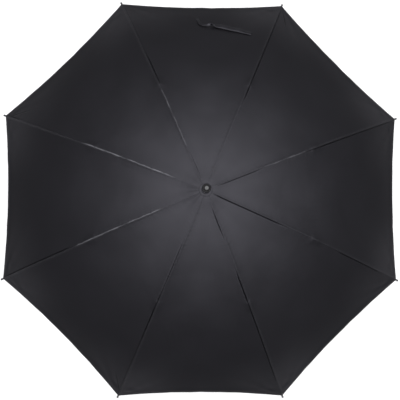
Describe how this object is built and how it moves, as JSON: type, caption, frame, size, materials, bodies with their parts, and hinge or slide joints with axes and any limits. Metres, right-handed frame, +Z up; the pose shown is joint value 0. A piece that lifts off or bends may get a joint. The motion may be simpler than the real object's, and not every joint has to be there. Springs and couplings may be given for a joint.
{
  "type": "golf umbrella",
  "caption": "Large manual stick umbrella: ribbed black canopy on stretchers and a sliding runner, with spring catches, tall ferrule, tie strap and straight grip.",
  "frame": {"origin": "centre of the flat butt face under the grip, at the shaft's lower end", "axes": "+Z runs up the shaft to the ferrule; +Y points to the middle of the panel that carries the tie strap; the ribs stand every 45 degrees, the first one 22.5 degrees round from +X"},
  "size_m": [1.2084, 1.2084, 1.01],
  "materials": {
    "fabric": "satin",
    "strap": "satin",
    "rib": "satin",
    "rib_tip": "satin",
    "stretcher": "satin",
    "rivet": "satin",
    "wire": "satin",
    "hub": "satin",
    "shaft": "satin",
    "grip": "matte",
    "cap": "gloss",
    "ferrule": "gloss",
    "rosette": "satin",
    "catch": "satin"
  },
  "bodies": {
    "shaft": {"shaft": "shaft", "crown": "hub", "crown_wire": "wire", "rosette": "rosette", "ferrule": "ferrule", "handle": "grip", "end_cap": "cap"},
    "rib_1": {"rib_1": "rib", "rib_tip_1": "rib_tip"},
    "stretcher_1": {"stretcher_1": "stretcher", "rivet_1": "rivet"},
    "rib_2": {"rib_2": "rib", "rib_tip_2": "rib_tip"},
    "stretcher_2": {"stretcher_2": "stretcher", "rivet_2": "rivet"},
    "rib_3": {"rib_3": "rib", "rib_tip_3": "rib_tip"},
    "stretcher_3": {"stretcher_3": "stretcher", "rivet_3": "rivet"},
    "rib_4": {"rib_4": "rib", "rib_tip_4": "rib_tip"},
    "stretcher_4": {"stretcher_4": "stretcher", "rivet_4": "rivet"},
    "rib_5": {"rib_5": "rib", "rib_tip_5": "rib_tip"},
    "stretcher_5": {"stretcher_5": "stretcher", "rivet_5": "rivet"},
    "rib_6": {"rib_6": "rib", "rib_tip_6": "rib_tip"},
    "stretcher_6": {"stretcher_6": "stretcher", "rivet_6": "rivet"},
    "rib_7": {"rib_7": "rib", "rib_tip_7": "rib_tip"},
    "stretcher_7": {"stretcher_7": "stretcher", "rivet_7": "rivet"},
    "rib_8": {"rib_8": "rib", "rib_tip_8": "rib_tip"},
    "stretcher_8": {"stretcher_8": "stretcher", "rivet_8": "rivet"},
    "runner": {"runner": "hub", "runner_wire": "wire"},
    "fabric_1a": {"canopy_1a": "fabric"},
    "fabric_1b": {"canopy_1b": "fabric"},
    "fabric_2a": {"canopy_2a": "fabric", "tie_strap": "strap"},
    "fabric_2b": {"canopy_2b": "fabric"},
    "fabric_3a": {"canopy_3a": "fabric"},
    "fabric_3b": {"canopy_3b": "fabric"},
    "fabric_4a": {"canopy_4a": "fabric"},
    "fabric_4b": {"canopy_4b": "fabric"},
    "fabric_5a": {"canopy_5a": "fabric"},
    "fabric_5b": {"canopy_5b": "fabric"},
    "fabric_6a": {"canopy_6a": "fabric"},
    "fabric_6b": {"canopy_6b": "fabric"},
    "fabric_7a": {"canopy_7a": "fabric"},
    "fabric_7b": {"canopy_7b": "fabric"},
    "fabric_8a": {"canopy_8a": "fabric"},
    "fabric_8b": {"canopy_8b": "fabric"},
    "top_catch": {"top_catch": "catch"},
    "bottom_catch": {"bottom_catch": "catch"}
  },
  "joints": [
    {"name": "fold", "type": "hinge", "parent": "shaft", "child": "rib_1", "pos_m": [0.01109, 0.00459, 0.93], "axis": [-0.3827, 0.9239, 0], "range_deg": [0, 58.33], "deforming": ["canopy_1a", "canopy_1b", "canopy_2a", "canopy_2b", "canopy_3a", "canopy_3b", "canopy_4a", "canopy_4b", "canopy_5a", "canopy_5b", "canopy_6a", "canopy_6b", "canopy_7a", "canopy_7b", "canopy_8a", "canopy_8b", "tie_strap", "top_catch", "bottom_catch"]},
    {"name": "rib_2_fold", "type": "hinge", "parent": "shaft", "child": "rib_2", "pos_m": [0.00459, 0.01109, 0.93], "axis": [-0.9239, 0.3827, 0], "range_deg": [0, 58.33]},
    {"name": "rib_3_fold", "type": "hinge", "parent": "shaft", "child": "rib_3", "pos_m": [-0.00459, 0.01109, 0.93], "axis": [-0.9239, -0.3827, 0], "range_deg": [0, 58.33]},
    {"name": "rib_4_fold", "type": "hinge", "parent": "shaft", "child": "rib_4", "pos_m": [-0.01109, 0.00459, 0.93], "axis": [-0.3827, -0.9239, 0], "range_deg": [0, 58.33]},
    {"name": "rib_5_fold", "type": "hinge", "parent": "shaft", "child": "rib_5", "pos_m": [-0.01109, -0.00459, 0.93], "axis": [0.3827, -0.9239, 0], "range_deg": [0, 58.33]},
    {"name": "rib_6_fold", "type": "hinge", "parent": "shaft", "child": "rib_6", "pos_m": [-0.00459, -0.01109, 0.93], "axis": [0.9239, -0.3827, 0], "range_deg": [0, 58.33]},
    {"name": "rib_7_fold", "type": "hinge", "parent": "shaft", "child": "rib_7", "pos_m": [0.00459, -0.01109, 0.93], "axis": [0.9239, 0.3827, 0], "range_deg": [0, 58.33]},
    {"name": "rib_8_fold", "type": "hinge", "parent": "shaft", "child": "rib_8", "pos_m": [0.01109, -0.00459, 0.93], "axis": [0.3827, 0.9239, 0], "range_deg": [0, 58.33]},
    {"name": "stretcher_1_swing", "type": "hinge", "parent": "rib_1", "child": "stretcher_1", "pos_m": [0.31147, 0.12902, 0.79146], "axis": [0.3827, -0.9239, 0], "range_deg": [0, 116.66]},
    {"name": "stretcher_2_swing", "type": "hinge", "parent": "rib_2", "child": "stretcher_2", "pos_m": [0.12902, 0.31147, 0.79146], "axis": [0.9239, -0.3827, 0], "range_deg": [0, 116.66]},
    {"name": "stretcher_3_swing", "type": "hinge", "parent": "rib_3", "child": "stretcher_3", "pos_m": [-0.12902, 0.31147, 0.79146], "axis": [0.9239, 0.3827, 0], "range_deg": [0, 116.66]},
    {"name": "stretcher_4_swing", "type": "hinge", "parent": "rib_4", "child": "stretcher_4", "pos_m": [-0.31147, 0.12902, 0.79146], "axis": [0.3827, 0.9239, 0], "range_deg": [0, 116.66]},
    {"name": "stretcher_5_swing", "type": "hinge", "parent": "rib_5", "child": "stretcher_5", "pos_m": [-0.31147, -0.12902, 0.79146], "axis": [-0.3827, 0.9239, 0], "range_deg": [0, 116.66]},
    {"name": "stretcher_6_swing", "type": "hinge", "parent": "rib_6", "child": "stretcher_6", "pos_m": [-0.12902, -0.31147, 0.79146], "axis": [-0.9239, 0.3827, 0], "range_deg": [0, 116.66]},
    {"name": "stretcher_7_swing", "type": "hinge", "parent": "rib_7", "child": "stretcher_7", "pos_m": [0.12902, -0.31147, 0.79146], "axis": [-0.9239, -0.3827, 0], "range_deg": [0, 116.66]},
    {"name": "stretcher_8_swing", "type": "hinge", "parent": "rib_8", "child": "stretcher_8", "pos_m": [0.31147, -0.12902, 0.79146], "axis": [-0.3827, -0.9239, 0], "range_deg": [0, 116.66]},
    {"name": "runner_travel", "type": "hinge", "parent": "stretcher_1", "child": "runner", "pos_m": [0.01109, 0.00459, 0.65291], "axis": [-0.3827, 0.9239, 0], "range_deg": [0, 58.33]},
    {"name": "fabric_1a_fold", "type": "hinge", "parent": "rib_1", "child": "fabric_1a", "pos_m": [0.01017, 0.0068, 0.93], "axis": [-0.4936, -0.7629, -0.4175], "range_deg": [0, 21.91]},
    {"name": "fabric_1b_fold", "type": "hinge", "parent": "rib_1", "child": "fabric_1b", "pos_m": [0.012, 0.00239, 0.93], "axis": [0.8885, -0.1905, 0.4175], "range_deg": [0, 21.91]},
    {"name": "fabric_2a_fold", "type": "hinge", "parent": "rib_2", "child": "fabric_2a", "pos_m": [0.00239, 0.012, 0.93], "axis": [0.1905, -0.8885, -0.4175], "range_deg": [0, 21.91]},
    {"name": "fabric_2b_fold", "type": "hinge", "parent": "rib_2", "child": "fabric_2b", "pos_m": [0.0068, 0.01017, 0.93], "axis": [0.7629, 0.4936, 0.4175], "range_deg": [0, 21.91]},
    {"name": "fabric_3a_fold", "type": "hinge", "parent": "rib_3", "child": "fabric_3a", "pos_m": [-0.0068, 0.01017, 0.93], "axis": [0.7629, -0.4936, -0.4175], "range_deg": [0, 21.91]},
    {"name": "fabric_3b_fold", "type": "hinge", "parent": "rib_3", "child": "fabric_3b", "pos_m": [-0.00239, 0.012, 0.93], "axis": [0.1905, 0.8885, 0.4175], "range_deg": [0, 21.91]},
    {"name": "fabric_4a_fold", "type": "hinge", "parent": "rib_4", "child": "fabric_4a", "pos_m": [-0.012, 0.00239, 0.93], "axis": [0.8885, 0.1905, -0.4175], "range_deg": [0, 21.91]},
    {"name": "fabric_4b_fold", "type": "hinge", "parent": "rib_4", "child": "fabric_4b", "pos_m": [-0.01017, 0.0068, 0.93], "axis": [-0.4936, 0.7629, 0.4175], "range_deg": [0, 21.91]},
    {"name": "fabric_5a_fold", "type": "hinge", "parent": "rib_5", "child": "fabric_5a", "pos_m": [-0.01017, -0.0068, 0.93], "axis": [0.4936, 0.7629, -0.4175], "range_deg": [0, 21.91]},
    {"name": "fabric_5b_fold", "type": "hinge", "parent": "rib_5", "child": "fabric_5b", "pos_m": [-0.012, -0.00239, 0.93], "axis": [-0.8885, 0.1905, 0.4175], "range_deg": [0, 21.91]},
    {"name": "fabric_6a_fold", "type": "hinge", "parent": "rib_6", "child": "fabric_6a", "pos_m": [-0.00239, -0.012, 0.93], "axis": [-0.1905, 0.8885, -0.4175], "range_deg": [0, 21.91]},
    {"name": "fabric_6b_fold", "type": "hinge", "parent": "rib_6", "child": "fabric_6b", "pos_m": [-0.0068, -0.01017, 0.93], "axis": [-0.7629, -0.4936, 0.4175], "range_deg": [0, 21.91]},
    {"name": "fabric_7a_fold", "type": "hinge", "parent": "rib_7", "child": "fabric_7a", "pos_m": [0.0068, -0.01017, 0.93], "axis": [-0.7629, 0.4936, -0.4175], "range_deg": [0, 21.91]},
    {"name": "fabric_7b_fold", "type": "hinge", "parent": "rib_7", "child": "fabric_7b", "pos_m": [0.00239, -0.012, 0.93], "axis": [-0.1905, -0.8885, 0.4175], "range_deg": [0, 21.91]},
    {"name": "fabric_8a_fold", "type": "hinge", "parent": "rib_8", "child": "fabric_8a", "pos_m": [0.012, -0.00239, 0.93], "axis": [-0.8885, -0.1905, -0.4175], "range_deg": [0, 21.91]},
    {"name": "fabric_8b_fold", "type": "hinge", "parent": "rib_8", "child": "fabric_8b", "pos_m": [0.01017, -0.0068, 0.93], "axis": [0.4936, -0.7629, 0.4175], "range_deg": [0, 21.91]},
    {"name": "top_catch_press", "type": "hinge", "parent": "shaft", "child": "top_catch", "pos_m": [0, -0.002, 0.57461], "axis": [-1, 0, 0], "range_deg": [0, 9], "stiffness_Nm_per_rad": 0.6, "springref_deg": -5.73},
    {"name": "bottom_catch_press", "type": "hinge", "parent": "shaft", "child": "bottom_catch", "pos_m": [0, -0.002, 0.21339], "axis": [1, 0, 0], "range_deg": [0, 9], "stiffness_Nm_per_rad": 0.6, "springref_deg": -5.73}
  ],
  "couplings": [
    {"joint": "rib_2_fold", "follows": "fold", "ratio": 1},
    {"joint": "rib_3_fold", "follows": "fold", "ratio": 1},
    {"joint": "rib_4_fold", "follows": "fold", "ratio": 1},
    {"joint": "rib_5_fold", "follows": "fold", "ratio": 1},
    {"joint": "rib_6_fold", "follows": "fold", "ratio": 1},
    {"joint": "rib_7_fold", "follows": "fold", "ratio": 1},
    {"joint": "rib_8_fold", "follows": "fold", "ratio": 1},
    {"joint": "stretcher_1_swing", "follows": "fold", "ratio": 2},
    {"joint": "stretcher_2_swing", "follows": "fold", "ratio": 2},
    {"joint": "stretcher_3_swing", "follows": "fold", "ratio": 2},
    {"joint": "stretcher_4_swing", "follows": "fold", "ratio": 2},
    {"joint": "stretcher_5_swing", "follows": "fold", "ratio": 2},
    {"joint": "stretcher_6_swing", "follows": "fold", "ratio": 2},
    {"joint": "stretcher_7_swing", "follows": "fold", "ratio": 2},
    {"joint": "stretcher_8_swing", "follows": "fold", "ratio": 2},
    {"joint": "runner_travel", "follows": "fold", "ratio": 1},
    {"joint": "fabric_1a_fold", "follows": "fold", "ratio": 0.37548},
    {"joint": "fabric_1b_fold", "follows": "fold", "ratio": 0.37548},
    {"joint": "fabric_2a_fold", "follows": "fold", "ratio": 0.37548},
    {"joint": "fabric_2b_fold", "follows": "fold", "ratio": 0.37548},
    {"joint": "fabric_3a_fold", "follows": "fold", "ratio": 0.37548},
    {"joint": "fabric_3b_fold", "follows": "fold", "ratio": 0.37548},
    {"joint": "fabric_4a_fold", "follows": "fold", "ratio": 0.37548},
    {"joint": "fabric_4b_fold", "follows": "fold", "ratio": 0.37548},
    {"joint": "fabric_5a_fold", "follows": "fold", "ratio": 0.37548},
    {"joint": "fabric_5b_fold", "follows": "fold", "ratio": 0.37548},
    {"joint": "fabric_6a_fold", "follows": "fold", "ratio": 0.37548},
    {"joint": "fabric_6b_fold", "follows": "fold", "ratio": 0.37548},
    {"joint": "fabric_7a_fold", "follows": "fold", "ratio": 0.37548},
    {"joint": "fabric_7b_fold", "follows": "fold", "ratio": 0.37548},
    {"joint": "fabric_8a_fold", "follows": "fold", "ratio": 0.37548},
    {"joint": "fabric_8b_fold", "follows": "fold", "ratio": 0.37548}
  ]
}
